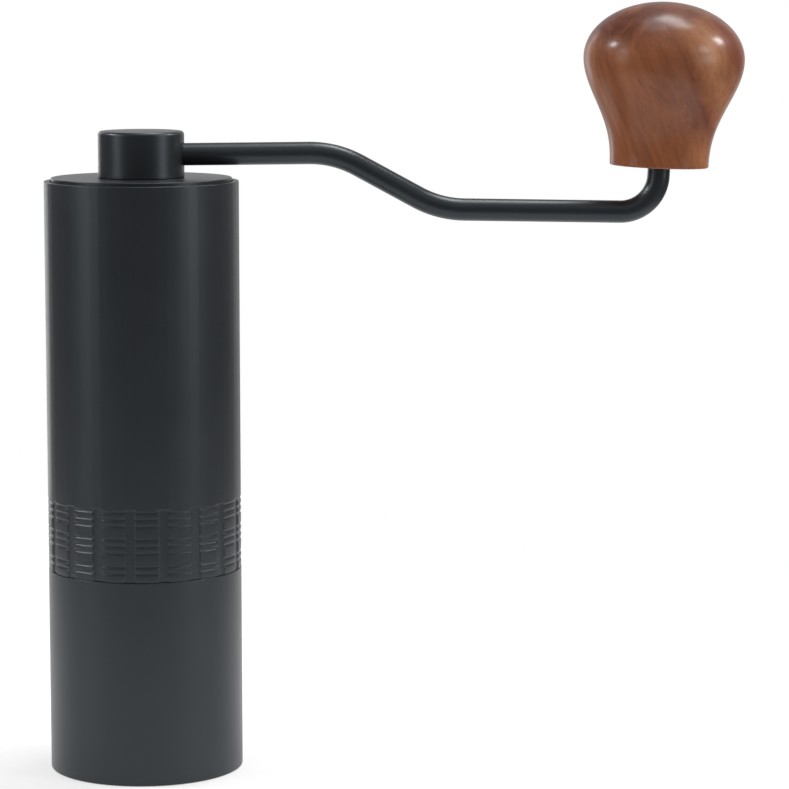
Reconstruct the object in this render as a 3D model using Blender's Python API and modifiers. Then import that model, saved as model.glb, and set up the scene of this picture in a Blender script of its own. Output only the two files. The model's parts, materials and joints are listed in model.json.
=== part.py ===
"""Hand crank coffee grinder: a turned metal body with a screw-on catch cup, a conical burr set on a
shaft in two bearings, and a bent rod crank with a wooden knob.

Metres, +Z up. The origin is the centre of the catch cup's base, and the crank arm lies along +X.
"""

import math

import bmesh
import bpy
from mathutils import Matrix, Vector

# ---- driving dimensions ----
GAP = 0.0003  # clearance that every pair of touching pieces keeps

BODY_R = 0.0260
RIM_Z = 0.1593
SEAM_Z = 0.0550  # where the barrel meets the catch cup
GRIP_TOP_Z = 0.0743
EDGE_CHAMFER = 0.0004

MOUTH_R = 0.0245  # rebate that takes the lid's disc
MOUTH_Z = 0.1563
UPPER_BORE_R = 0.0240
UPPER_LEDGE_Z = 0.1400  # the upper bracket rests here
HOPPER_R = 0.0232
LOWER_LEDGE_Z = 0.0760  # the lower bracket rests here
BURR_BORE_R = 0.0215
NECK_R = 0.0240
NECK_Z = 0.0472  # lower end of the threaded neck

GRIP_CHANNELS = 18  # upright channels, which leave as many finger pads between them
GRIP_TURN = math.radians(5.6)
CHANNEL_WIDTH = 0.0028
CHANNEL_DEPTH = 0.0004

CUP_R = 0.02605
CUP_BORE_R = 0.0233
CUP_FLOOR = 0.0030
CUP_LEDGE_Z = 0.0457

LID_TOP_Z = 0.1602
LID_R = MOUTH_R - 0.00035
LID_SKIRT_R = 0.0234
LID_SKIRT_Z = 0.1502
LID_BORE_R = 0.0094

HUB_R = 0.0115
HUB_TOP_Z = 0.1726
HUB_SLEEVE_R = 0.0070
HUB_SLEEVE_Z = 0.1520
SOCKET_TOP_Z = 0.1620
SHAFT_HEX_FLATS = 0.0068

ROD_R = 0.0030
ARM_START = Vector((-0.0060, 0, 0.16618))
ARM_CORNERS = (  # corner of the centreline, and the radius of its bend
    (Vector((0.05180, 0, 0.16676)), 0.0270),
    (Vector((0.07960, 0, 0.15167)), 0.0270),
    (Vector((0.13776, 0, 0.15089)), 0.0101),
)

KNOB_BASE = Vector((0.13820, 0, 0.16320))
KNOB_TILT = math.radians(2.1)
KNOB_HEIGHT = 0.0436
KNOB_BELLY_HEIGHT = 0.0286
KNOB_BASE_R = 0.0132
KNOB_BELLY_R = 0.0214
KNOB_BORE_R = 0.0058
KNOB_BORE_DEPTH = 0.0310
SPINDLE_END = 0.0280  # height of the rod's end above the knob's base
CLIP_HEIGHT = 0.0250

SHAFT_R = 0.0040
SHAFT_TOP_Z = 0.1616
SHAFT_END_Z = 0.0464
SHAFT_FLAT = 0.0031  # half the thickness across the burr's two driving flats
THREAD_R = 0.0029

BEARING_WIDTH = 0.0050
BEARING_R = 0.0080
UPPER_BEARING_Z = 0.1407
LOWER_BEARING_Z = 0.0776
BALLS = 7

BURR_TOP_Z = 0.0757
BURR_BOTTOM_Z = 0.0602
BURR_THROAT_Z = 0.0660  # where the finishing teeth end and the throat opens
BURR_THROAT_TOP_R = 0.0174
BURR_CLEARANCE = 0.0007
BURR_SLOPE = 0.375  # radius lost per metre of height along the finishing teeth
OUTER_BURR_EXIT_R = 0.0193
INNER_BURR_BASE_Z = 0.0575
INNER_BURR_TOP_Z = 0.0745
SPRING_SEAT_Z = 0.0660

DIAL_TOP_Z = 0.0561
DIAL_BOTTOM_Z = 0.0495
DIAL_R = 0.0135
DIAL_LOBES = 12
BALL_CIRCLE_R = 0.0090
DETENT_BALL_R = 0.00125

BODY_STEPS = 40
SMALL_STEPS = 20

# ---- scene, collections and materials ----
for old in list(bpy.data.objects):
    bpy.data.objects.remove(old)

parts = bpy.data.collections.new("hand_crank_coffee_grinder")
cutters = bpy.data.collections.new("cutters")
bpy.context.scene.collection.children.link(parts)
bpy.context.scene.collection.children.link(cutters)


def material(name, colour, roughness, metallic):
    made = bpy.data.materials.new(name)
    made.use_nodes = True
    shader = made.node_tree.nodes["Principled BSDF"]
    shader.inputs["Base Color"].default_value = (*colour, 1.0)
    shader.inputs["Roughness"].default_value = roughness
    shader.inputs["Metallic"].default_value = metallic
    return made


BLACK = material("black_anodised_aluminium", (0.020, 0.022, 0.026), 0.45, 0.8)
WOOD = material("red_brown_hardwood", (0.180, 0.060, 0.028), 0.30, 0.0)
STEEL = material("steel", (0.560, 0.560, 0.570), 0.30, 1.0)
SPRING_STEEL = material("spring_steel", (0.350, 0.350, 0.360), 0.35, 1.0)
BRASS = material("brass", (0.620, 0.450, 0.180), 0.30, 1.0)
RUBBER = material("silicone", (0.060, 0.060, 0.062), 0.70, 0.0)
NYLON = material("nylon", (0.700, 0.690, 0.650), 0.55, 0.0)


# ---- modelling helpers ----
def add(name, mesh, look, parent=None):
    made = bpy.data.objects.new(name, mesh)
    parts.objects.link(made)
    if look:
        made.data.materials.append(look)
    if parent:
        made.parent = parent
    return made


def as_helper(tool):
    """Turns an object into a Boolean's tool, which is not a piece of the grinder."""
    parts.objects.unlink(tool)
    cutters.objects.link(tool)
    tool.hide_render = True
    tool.display_type = "WIRE"
    return tool


def boolean(target, tool, operation):
    if tool.name in parts.objects:
        as_helper(tool)
    step = target.modifiers.new(tool.name, "BOOLEAN")
    step.operation = operation
    step.solver = "EXACT"
    step.object = tool


def turned(name, profile, look, steps=SMALL_STEPS, parent=None):
    """A solid of revolution about Z. The profile runs down the outside, then back up the inside.
    One that starts on the axis is open there, and the Screw closes it."""
    mesh = bpy.data.meshes.new(name)
    points = [(radius, 0, z) for radius, z in profile]
    edges = [(i, i + 1) for i in range(len(points) - 1)]
    if profile[0][0] > 0:
        edges.append((len(points) - 1, 0))
    mesh.from_pydata(points, edges, [])
    made = add(name, mesh, look, parent)
    screw = made.modifiers.new("turn", "SCREW")
    screw.axis = "Z"
    screw.steps = screw.render_steps = steps
    screw.use_merge_vertices = True
    screw.merge_threshold = 0.00001
    screw.use_smooth_shade = True
    return made


def ring(name, inner_r, outer_r, low_z, high_z, look, steps=SMALL_STEPS, parent=None):
    profile = [(outer_r, high_z), (outer_r, low_z), (inner_r, low_z), (inner_r, high_z)]
    return turned(name, profile, look, steps, parent)


def rod(name, radius, low_z, high_z, look=None, steps=SMALL_STEPS):
    profile = [(0, high_z), (radius, high_z), (radius, low_z), (0, low_z)]
    return turned(name, profile, look, steps)


def prism(name, radius, sides, low_z, high_z, look=None, flat=None):
    """An upright prism. flat clips it to a double D of that half thickness."""
    mesh = bpy.data.meshes.new(name)
    shape = bmesh.new()
    bmesh.ops.create_cone(
        shape, cap_ends=True, segments=sides, radius1=radius, radius2=radius, depth=high_z - low_z
    )
    for vertex in shape.verts:
        vertex.co.z += (low_z + high_z) / 2
        if flat:
            vertex.co.y = max(-flat, min(flat, vertex.co.y))
    shape.to_mesh(mesh)
    shape.free()
    return add(name, mesh, look)


def block(name, size, centre, turn=0.0, look=None):
    """A box turned about the object's Z axis after it has been moved to its place."""
    mesh = bpy.data.meshes.new(name)
    shape = bmesh.new()
    bmesh.ops.create_cube(shape, size=1.0)
    place = Matrix.Rotation(turn, 4, "Z") @ Matrix.Translation(centre)
    shape.transform(place @ Matrix.Diagonal((*size, 1.0)))
    shape.to_mesh(mesh)
    shape.free()
    return add(name, mesh, look)


def wire(name, route, radius, look, sides=2, parent=None):
    """A round wire or rod as a solid mesh along the route, with flat ends."""
    curve = bpy.data.curves.new(name, "CURVE")
    curve.dimensions = "3D"
    curve.bevel_depth = radius
    curve.bevel_resolution = sides
    curve.use_fill_caps = True
    spline = curve.splines.new("POLY")
    spline.points.add(len(route) - 1)
    for place, point in zip(spline.points, route):
        place.co = (*point, 1.0)
    guide = bpy.data.objects.new(name + "_route", curve)
    parts.objects.link(guide)
    graph = bpy.context.evaluated_depsgraph_get()
    mesh = bpy.data.meshes.new_from_object(guide.evaluated_get(graph))
    bpy.data.objects.remove(guide)
    shape = bmesh.new()
    shape.from_mesh(mesh)
    bmesh.ops.remove_doubles(shape, verts=shape.verts, dist=0.000001)
    shape.to_mesh(mesh)
    shape.free()
    mesh.materials.clear()
    mesh.shade_smooth()
    mesh.set_sharp_from_angle(angle=math.radians(40))
    return add(name, mesh, look, parent)


def coil(centre, radius, low_z, high_z, turns, points_per_turn):
    count = round(turns * points_per_turn)
    route = []
    for i in range(count + 1):
        angle = 2 * math.pi * turns * i / count
        height = low_z + (high_z - low_z) * i / count
        offset = Vector((radius * math.cos(angle), radius * math.sin(angle), 0))
        route.append(Vector((centre.x, centre.y, height)) + offset)
    return route


def axis_empty(name, place, tilt=0.0):
    """An empty on a joint's axis, which carries the pieces that turn about it."""
    made = bpy.data.objects.new(name, None)
    parts.objects.link(made)
    made.location = place
    made.rotation_euler = (0, tilt, 0)
    return made


# ---- body ----
def make_barrel():
    inside = NECK_R - 0.0005
    profile = [
        (BODY_R - EDGE_CHAMFER, RIM_Z),
        (BODY_R, RIM_Z - EDGE_CHAMFER),
        (BODY_R, SEAM_Z + GAP / 2),
        (NECK_R, SEAM_Z + GAP / 2),
        (NECK_R, NECK_Z + 0.0005),
        (inside, NECK_Z),
        (BURR_BORE_R, NECK_Z),
        (BURR_BORE_R, LOWER_LEDGE_Z),
        (HOPPER_R, LOWER_LEDGE_Z),
        (HOPPER_R, UPPER_LEDGE_Z),
        (UPPER_BORE_R, UPPER_LEDGE_Z),
        (UPPER_BORE_R, MOUTH_Z),
        (MOUTH_R, MOUTH_Z),
        (MOUTH_R, RIM_Z),
    ]
    barrel = turned("barrel", profile, BLACK, BODY_STEPS)
    overrun = 0.0010  # below the seam, so that each channel is open there
    channel_height = GRIP_TOP_Z - SEAM_Z + overrun
    channel_size = (2 * CHANNEL_DEPTH, CHANNEL_WIDTH, channel_height)
    channel_place = Vector((BODY_R, 0, GRIP_TOP_Z - channel_height / 2))
    for i in range(GRIP_CHANNELS):
        turn = GRIP_TURN + 2 * math.pi * i / GRIP_CHANNELS
        boolean(barrel, block(f"grip_channel_{i}", channel_size, channel_place, turn), "DIFFERENCE")


def make_bracket(name, ring_r, ring_low, ring_high, hub_low, hub_high, seat_z):
    """A three-armed spider: an outer ring, spokes, and a hub with the bearing's seat."""
    ring_wall = 0.0022
    hub_r = 0.0110
    lip_r = 0.0068
    spoke_width = 0.0040
    bracket = ring(name, ring_r - ring_wall, ring_r, ring_low, ring_high, BLACK, BODY_STEPS)
    hub_profile = [
        (hub_r, hub_high),
        (hub_r, hub_low),
        (lip_r, hub_low),
        (lip_r, seat_z),
        (BEARING_R + GAP, seat_z),
        (BEARING_R + GAP, hub_high),
    ]
    boolean(bracket, turned(name + "_hub", hub_profile, None), "UNION")
    inner_end = BEARING_R + 0.0015
    outer_end = ring_r - ring_wall / 2
    spoke_size = (outer_end - inner_end, spoke_width, ring_high - ring_low - 0.0010)
    spoke_place = Vector(((inner_end + outer_end) / 2, 0, (ring_low + ring_high) / 2))
    for i in range(3):
        turn = math.radians(90 + 120 * i)
        boolean(bracket, block(f"{name}_spoke_{i}", spoke_size, spoke_place, turn), "UNION")


def make_bearing(place, low_z):
    """A ball bearing as its outer race, its inner race and its cage of balls."""
    high_z = low_z + BEARING_WIDTH
    middle = low_z + BEARING_WIDTH / 2
    pitch_r = 0.0062
    ball_r = 0.00065
    ring(place + "_bearing_outer_race", 0.0071, BEARING_R, low_z, high_z, STEEL)
    ring(place + "_bearing_inner_race", SHAFT_R + GAP, 0.0053, low_z, high_z, STEEL)
    cage = ring(
        place + "_bearing_ball_cage",
        pitch_r - 0.0003,
        pitch_r + 0.0003,
        middle - 0.0009,
        middle + 0.0009,
        BRASS,
    )
    for i in range(BALLS):
        mesh = bpy.data.meshes.new(f"{place}_ball_{i}")
        shape = bmesh.new()
        bmesh.ops.create_uvsphere(shape, u_segments=6, v_segments=4, radius=ball_r)
        angle = 2 * math.pi * i / BALLS
        centre = Vector((pitch_r * math.cos(angle), pitch_r * math.sin(angle), middle))
        shape.transform(Matrix.Translation(centre) @ Matrix.Rotation(angle, 4, "Z"))
        shape.to_mesh(mesh)
        shape.free()
        boolean(cage, add(mesh.name, mesh, None), "UNION")


def make_bracket_snap_ring():
    low_z = UPPER_LEDGE_Z + 0.0056
    snap = ring(
        "bracket_snap_ring",
        UPPER_BORE_R - 0.0018,
        UPPER_BORE_R - GAP,
        low_z,
        low_z + 0.0012,
        SPRING_STEEL,
        BODY_STEPS,
    )
    opening = block("snap_ring_opening", (0.0060, 0.0050, 0.0040), Vector((0, -0.0230, low_z)))
    boolean(snap, opening, "DIFFERENCE")


# ---- burrs ----
def finishing_radius(z):
    """Radius of the outer burr's finishing teeth at this height."""
    return OUTER_BURR_EXIT_R - BURR_SLOPE * (z - BURR_BOTTOM_Z)


def make_outer_burr():
    profile = [
        (BURR_BORE_R - GAP, BURR_TOP_Z),
        (BURR_BORE_R - GAP, BURR_BOTTOM_Z),
        (OUTER_BURR_EXIT_R, BURR_BOTTOM_Z),
        (finishing_radius(BURR_THROAT_Z), BURR_THROAT_Z),
        (BURR_THROAT_TOP_R, BURR_TOP_Z),
    ]
    turned("outer_burr", profile, STEEL, BODY_STEPS)
    low_z = BURR_BOTTOM_Z - 0.0026
    high_z = BURR_BOTTOM_Z - GAP
    ring("burr_retaining_ring", 0.0196, BURR_BORE_R - GAP, low_z, high_z, STEEL, BODY_STEPS)


def make_inner_burr(axis):
    profile = [
        (0.0083, INNER_BURR_TOP_Z),
        (finishing_radius(BURR_THROAT_Z) - BURR_CLEARANCE, BURR_THROAT_Z),
        (finishing_radius(BURR_BOTTOM_Z) - BURR_CLEARANCE, BURR_BOTTOM_Z),
        (finishing_radius(BURR_BOTTOM_Z) - BURR_CLEARANCE, INNER_BURR_BASE_Z),
        (0.0010, INNER_BURR_BASE_Z),
        (0.0010, SPRING_SEAT_Z),
        (0.0063, SPRING_SEAT_Z),
        (0.0063, INNER_BURR_TOP_Z),
    ]
    burr = turned("inner_burr", profile, STEEL, BODY_STEPS, axis)
    bore = prism(
        "burr_bore", SHAFT_R + GAP, SMALL_STEPS, 0.0565, 0.0672, flat=SHAFT_FLAT + GAP
    )
    boolean(burr, bore, "DIFFERENCE")
    plate_high = INNER_BURR_BASE_Z - GAP
    ring("click_plate", 0.0046, 0.0120, plate_high - 0.0008, plate_high, STEEL, parent=axis)


def make_dial(axis):
    dial = ring("adjustment_dial", THREAD_R + GAP, DIAL_R, DIAL_BOTTOM_Z, DIAL_TOP_Z, BLACK, 24, axis)
    for i in range(DIAL_LOBES):
        angle = 2 * math.pi * (i + 0.5) / DIAL_LOBES
        notch = prism(f"dial_notch_{i}", 0.0012, 8, DIAL_BOTTOM_Z - 0.001, DIAL_TOP_Z + 0.001)
        notch.location = ((DIAL_R + 0.0004) * math.cos(angle), (DIAL_R + 0.0004) * math.sin(angle), 0)
        boolean(dial, notch, "DIFFERENCE")
    for i in range(2):
        side = 1 - 2 * i
        place = Vector((side * BALL_CIRCLE_R, 0, 0))
        pocket = prism(f"detent_pocket_{i}", DETENT_BALL_R + 0.00035, 16, 0.0511, DIAL_TOP_Z + 0.001)
        pocket.location = place
        boolean(dial, pocket, "DIFFERENCE")
        mesh = bpy.data.meshes.new(f"detent_ball_{i + 1}")
        shape = bmesh.new()
        bmesh.ops.create_uvsphere(shape, u_segments=8, v_segments=6, radius=DETENT_BALL_R)
        shape.to_mesh(mesh)
        shape.free()
        ball = add(mesh.name, mesh, STEEL, axis)
        ball.location = place + Vector((0, 0, DIAL_TOP_Z - 0.00115))
        ball.data.shade_smooth()
        route = coil(place, 0.0009, 0.0518, 0.0532, 3, 8)
        wire(f"detent_spring_{i + 1}", route, 0.0002, SPRING_STEEL, 0, axis)


def make_shaft(axis):
    """The drive shaft: hex top, round journal, double D for the burr and a threaded end."""
    hex_start = 0.1450
    double_d_end = 0.0575
    profile = [
        (0, 0.1470),
        (SHAFT_R, 0.1470),
        (SHAFT_R, 0.0768),
        (0, 0.0768),
    ]
    shaft = turned("drive_shaft", profile, STEEL, SMALL_STEPS, axis)
    corner_r = SHAFT_HEX_FLATS / 2 / math.cos(math.pi / 6)
    boolean(shaft, prism("shaft_hex", corner_r, 6, hex_start, SHAFT_TOP_Z), "UNION")
    double_d = prism(
        "shaft_double_d", SHAFT_R - 0.00005, SMALL_STEPS, double_d_end, 0.0790, flat=SHAFT_FLAT
    )
    boolean(shaft, double_d, "UNION")
    boolean(shaft, rod("shaft_thread", THREAD_R, SHAFT_END_Z, double_d_end + 0.0020), "UNION")
    race_top = LOWER_BEARING_Z + BEARING_WIDTH
    upper_race_top = UPPER_BEARING_Z + BEARING_WIDTH
    inner_r = SHAFT_R + GAP
    ring("lower_shaft_circlip", inner_r, 0.0062, race_top + GAP, race_top + 0.0011, SPRING_STEEL)
    ring("upper_shaft_circlip", inner_r, 0.0062, upper_race_top + GAP, 0.1468, SPRING_STEEL)
    washer_top = LOWER_BEARING_Z - GAP
    ring("spring_washer", inner_r, 0.0063, washer_top - 0.0010, washer_top, STEEL)
    route = coil(Vector((0, 0, 0)), 0.0052, SPRING_SEAT_Z + 0.0009, washer_top - 0.0019, 4, 9)
    wire("burr_spring", route, 0.0005, SPRING_STEEL, 1)
    ring("dial_retaining_clip", THREAD_R + GAP, 0.0052, 0.0470, 0.0478, SPRING_STEEL)


# ---- lid ----
def make_lid():
    groove_r = 0.0220
    boss_r = 0.0120
    roof_z = 0.1569
    boss_z = 0.1548
    profile = [
        (LID_R - GAP, LID_TOP_Z),
        (LID_R, LID_TOP_Z - GAP),
        (LID_R, MOUTH_Z + GAP),
        (LID_SKIRT_R, MOUTH_Z + GAP),
        (LID_SKIRT_R, 0.1546),
        (groove_r, 0.1546),
        (groove_r, 0.1516),
        (LID_SKIRT_R, 0.1516),
        (LID_SKIRT_R, LID_SKIRT_Z),
        (0.0205, LID_SKIRT_Z),
        (0.0205, roof_z),
        (boss_r, roof_z),
        (boss_r, boss_z),
        (LID_BORE_R, boss_z),
        (LID_BORE_R, LID_TOP_Z),
    ]
    turned("lid", profile, BLACK, BODY_STEPS)
    seal_r = 0.0008
    middle_r = groove_r + 0.0002 + seal_r
    middle_z = 0.1531
    profile = []
    for i in range(6):
        angle = math.pi / 2 - 2 * math.pi * i / 6
        profile.append((middle_r + seal_r * math.cos(angle), middle_z + seal_r * math.sin(angle)))
    turned("lid_seal_ring", profile, RUBBER, BODY_STEPS)
    flange_z = boss_z - GAP
    profile = [
        (LID_BORE_R - GAP, LID_TOP_Z - 0.0002),
        (LID_BORE_R - GAP, flange_z),
        (0.0112, flange_z),
        (0.0112, flange_z - 0.0008),
        (HUB_SLEEVE_R + GAP, flange_z - 0.0008),
        (HUB_SLEEVE_R + GAP, LID_TOP_Z - 0.0002),
    ]
    turned("lid_bush", profile, NYLON)


# ---- crank ----
def arm_route():
    """The rod's centreline: straight runs with an arc at each corner, ending inside the knob."""
    knob_axis = Vector((math.sin(KNOB_TILT), 0, math.cos(KNOB_TILT)))
    route = [ARM_START]
    corners = [corner for corner, _ in ARM_CORNERS]
    ends = [ARM_START, *corners, KNOB_BASE + knob_axis * SPINDLE_END]
    for index, (corner, radius) in enumerate(ARM_CORNERS):
        into = (corner - ends[index]).normalized()
        out = (ends[index + 2] - corner).normalized()
        bend = into.angle(out)
        reach = radius * math.tan(bend / 2)
        start = corner - into * reach
        inward = (out - into).normalized()
        centre = corner + inward * (radius / math.cos(bend / 2))
        steps = max(4, round(math.degrees(bend) / 9))
        side = (start - centre).normalized()
        for step in range(steps + 1):
            angle = bend * step / steps
            route.append(centre + radius * (side * math.cos(angle) + into * math.sin(angle)))
    route.append(ends[-1])
    return route


def make_crank(knob_axis):
    fillet = 0.0010
    profile = [
        (0, HUB_TOP_Z),
        (HUB_R - fillet, HUB_TOP_Z),
        (HUB_R - fillet * 0.3, HUB_TOP_Z - fillet * 0.3),
        (HUB_R, HUB_TOP_Z - fillet),
        (HUB_R, LID_TOP_Z + GAP),
        (HUB_SLEEVE_R, LID_TOP_Z + GAP),
        (HUB_SLEEVE_R, 0.1537),
        (HUB_SLEEVE_R - 0.0008, 0.1537),
        (HUB_SLEEVE_R - 0.0008, 0.1525),
        (HUB_SLEEVE_R, 0.1525),
        (HUB_SLEEVE_R, HUB_SLEEVE_Z),
        (0, HUB_SLEEVE_Z),
    ]
    hub = turned("crank_hub", profile, BLACK, BODY_STEPS)
    corner_r = (SHAFT_HEX_FLATS / 2 + GAP) / math.cos(math.pi / 6)
    socket = prism("hub_socket", corner_r, 6, HUB_SLEEVE_Z - 0.0010, SOCKET_TOP_Z)
    boolean(hub, socket, "DIFFERENCE")
    direction = (ARM_CORNERS[0][0] - ARM_START).normalized()
    bore_route = [ARM_START - direction * GAP, ARM_START + direction * 0.0220]
    bore = wire("hub_arm_bore", bore_route, ROD_R + GAP, None, 4)
    boolean(hub, bore, "DIFFERENCE")
    screw_z = (ARM_START + direction * 0.0060).z
    screw_hole = prism("grub_screw_hole", 0.0015 + GAP, 16, 0.0005, 0.0150)
    screw_hole.location = (0, 0, screw_z)
    screw_hole.rotation_euler = (-math.pi / 2, 0, 0)
    boolean(hub, screw_hole, "DIFFERENCE")
    screw = prism("arm_grub_screw", 0.0015, 16, ROD_R + GAP, 0.0098, STEEL)
    screw.location = (0, 0, screw_z)
    screw.rotation_euler = (-math.pi / 2, 0, 0)
    drive = prism("grub_screw_socket", 0.00086, 6, 0.0080, 0.0110)
    drive.location = screw.location
    drive.rotation_euler = screw.rotation_euler
    boolean(screw, drive, "DIFFERENCE")

    clip_r = HUB_SLEEVE_R - 0.0008 + GAP
    ring("hub_circlip", clip_r, 0.0093, 0.1527, 0.1534, SPRING_STEEL)

    arm = wire("crank_arm", arm_route(), ROD_R, BLACK, 3)
    groove = ring("clip_groove", 0.0023, 0.0040, CLIP_HEIGHT - 0.0003, CLIP_HEIGHT + 0.0013, None)
    groove.parent = knob_axis
    boolean(arm, groove, "DIFFERENCE")
    ring("knob_retaining_clip", 0.0026, 0.0050, CLIP_HEIGHT, CLIP_HEIGHT + 0.0010, SPRING_STEEL,
         parent=knob_axis)


def knob_radius(height):
    """Outer radius of the knob: a swelling neck up to the belly, then an elliptical crown."""
    if height < KNOB_BELLY_HEIGHT:
        swell = (1 - math.cos(math.pi * (height / KNOB_BELLY_HEIGHT) ** 1.22)) / 2
        return KNOB_BASE_R + (KNOB_BELLY_R - KNOB_BASE_R) * swell
    rise = (height - KNOB_BELLY_HEIGHT) / (KNOB_HEIGHT - KNOB_BELLY_HEIGHT)
    return KNOB_BELLY_R * math.sqrt(max(0.0, 1 - rise**2))


def make_knob(axis):
    edge = 0.0006
    crown_steps = 7
    neck_steps = 7
    profile = [(0, KNOB_HEIGHT)]
    for i in range(1, crown_steps + 1):
        angle = math.pi / 2 * (1 - i / crown_steps)
        height = KNOB_BELLY_HEIGHT + (KNOB_HEIGHT - KNOB_BELLY_HEIGHT) * math.sin(angle)
        profile.append((KNOB_BELLY_R * math.cos(angle), height))
    for i in range(1, neck_steps + 1):
        height = edge + (KNOB_BELLY_HEIGHT - edge) * (1 - i / neck_steps)
        profile.append((knob_radius(height), height))
    profile += [
        (KNOB_BASE_R - edge, 0),
        (KNOB_BORE_R, 0),
        (KNOB_BORE_R, KNOB_BORE_DEPTH),
        (0, KNOB_BORE_DEPTH),
    ]
    turned("knob", profile, WOOD, 28, axis)
    ring("knob_sleeve", ROD_R + GAP, KNOB_BORE_R - GAP, 0.0008, CLIP_HEIGHT - GAP, BRASS, parent=axis)


# ---- catch cup ----
def make_cup(axis):
    top_z = SEAM_Z - GAP / 2
    thread_r = NECK_R + GAP
    profile = [
        (CUP_R - EDGE_CHAMFER, top_z),
        (CUP_R, top_z - EDGE_CHAMFER),
        (CUP_R, EDGE_CHAMFER),
        (CUP_R - EDGE_CHAMFER, 0),
        (0, 0),
    ]
    cup = turned("catch_cup", [(0, top_z), *profile], BLACK, BODY_STEPS, axis)
    hollow = [
        (0, top_z + 0.0020),
        (thread_r, top_z + 0.0020),
        (thread_r, CUP_LEDGE_Z),
        (CUP_BORE_R, CUP_LEDGE_Z),
        (CUP_BORE_R, CUP_FLOOR + 0.0020),
        (CUP_BORE_R - 0.0006, CUP_FLOOR + 0.0006),
        (CUP_BORE_R - 0.0020, CUP_FLOOR),
        (0, CUP_FLOOR),
    ]
    boolean(cup, turned("cup_hollow", hollow, None, BODY_STEPS), "DIFFERENCE")
    seal_low = CUP_LEDGE_Z + GAP
    ring("cup_seal_ring", 0.0234, NECK_R, seal_low, NECK_Z - GAP, RUBBER, BODY_STEPS, axis)


burr_axis = axis_empty("burr_axis", (0, 0, 0))
cup_axis = axis_empty("cup_axis", (0, 0, 0))
knob_axis = axis_empty("knob_axis", KNOB_BASE, KNOB_TILT)

make_barrel()
make_bracket("upper_bracket", UPPER_BORE_R - GAP, 0.1403, 0.1453, 0.1396, 0.1460, 0.1404)
make_bracket("lower_bracket", HOPPER_R - GAP, 0.0763, 0.0840, 0.0763, 0.0838, 0.0773)
make_bearing("upper", UPPER_BEARING_Z)
make_bearing("lower", LOWER_BEARING_Z)
make_bracket_snap_ring()
make_outer_burr()
make_inner_burr(burr_axis)
make_dial(burr_axis)
make_shaft(burr_axis)
make_lid()
make_crank(knob_axis)
make_knob(knob_axis)
make_cup(cup_axis)
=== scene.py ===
"""Looks of the hand crank coffee grinder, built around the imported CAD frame.

Metres, +Z up, in the CAD's frame: the origin is the centre of the catch cup's base and the crank arm
lies along +X. Turned pieces are profiles of (radius, height), down the outside and up the inside.
"""

import json
import math

import bmesh
import bpy
from mathutils import Matrix, Vector

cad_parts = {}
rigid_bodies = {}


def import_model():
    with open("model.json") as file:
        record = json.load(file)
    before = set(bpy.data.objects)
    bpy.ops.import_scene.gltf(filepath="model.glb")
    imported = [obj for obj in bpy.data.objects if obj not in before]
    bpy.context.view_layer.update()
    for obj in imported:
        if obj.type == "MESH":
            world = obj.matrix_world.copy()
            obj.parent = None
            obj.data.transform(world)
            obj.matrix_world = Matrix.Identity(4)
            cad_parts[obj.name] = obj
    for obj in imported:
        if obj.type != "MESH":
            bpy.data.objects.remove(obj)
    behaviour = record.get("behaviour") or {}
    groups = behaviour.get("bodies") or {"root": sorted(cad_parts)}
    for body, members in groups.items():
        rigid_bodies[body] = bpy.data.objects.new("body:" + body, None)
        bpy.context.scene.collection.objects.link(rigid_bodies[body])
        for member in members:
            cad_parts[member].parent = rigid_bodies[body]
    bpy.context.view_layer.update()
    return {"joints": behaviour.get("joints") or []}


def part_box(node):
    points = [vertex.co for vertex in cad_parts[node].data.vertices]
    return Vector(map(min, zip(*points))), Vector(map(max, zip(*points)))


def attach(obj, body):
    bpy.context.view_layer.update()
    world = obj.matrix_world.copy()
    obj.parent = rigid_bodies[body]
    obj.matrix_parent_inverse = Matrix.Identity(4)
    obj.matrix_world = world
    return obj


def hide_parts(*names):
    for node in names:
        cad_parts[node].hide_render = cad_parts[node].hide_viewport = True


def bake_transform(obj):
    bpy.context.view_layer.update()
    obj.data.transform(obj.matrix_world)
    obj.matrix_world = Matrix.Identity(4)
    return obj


for old in list(bpy.data.objects):
    bpy.data.objects.remove(old)
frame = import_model()

# ---- sizes from the frame ----
BARREL_LOW, BARREL_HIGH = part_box("barrel")
CUP_LOW, CUP_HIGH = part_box("catch_cup")
LID_LOW, LID_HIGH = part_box("lid")
HUB_LOW, HUB_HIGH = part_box("crank_hub")
ARM_LOW, ARM_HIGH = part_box("crank_arm")
KNOB_JOINT = next(joint for joint in frame["joints"] if joint["name"] == "knob_spin")

BODY_R = BARREL_HIGH.x
RIM_Z = BARREL_HIGH.z
NECK_Z = BARREL_LOW.z
CUP_R = CUP_HIGH.x
CUP_TOP_Z = CUP_HIGH.z
GAP = 0.0003  # between touching pieces
SEAM_Z = CUP_TOP_Z + 0.00006  # the finished edges close up to a hairline
LID_TOP_Z = LID_HIGH.z
LID_R = LID_HIGH.x
HUB_R = HUB_HIGH.x
HUB_TOP_Z = HUB_HIGH.z
HUB_BASE_Z = LID_TOP_Z + 0.00008
ROD_R = (ARM_HIGH.y - ARM_LOW.y) / 2

# ---- sizes inside the body ----
RIM_EDGE = 0.0002  # rounding round the lid
MOUTH_R = 0.0245
MOUTH_Z = 0.1563
UPPER_BORE_R = 0.0240
UPPER_LEDGE_Z = 0.1400
HOPPER_R = 0.0232
LOWER_LEDGE_Z = 0.0760
BURR_BORE_R = 0.0215
NECK_R = 0.0240

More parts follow.
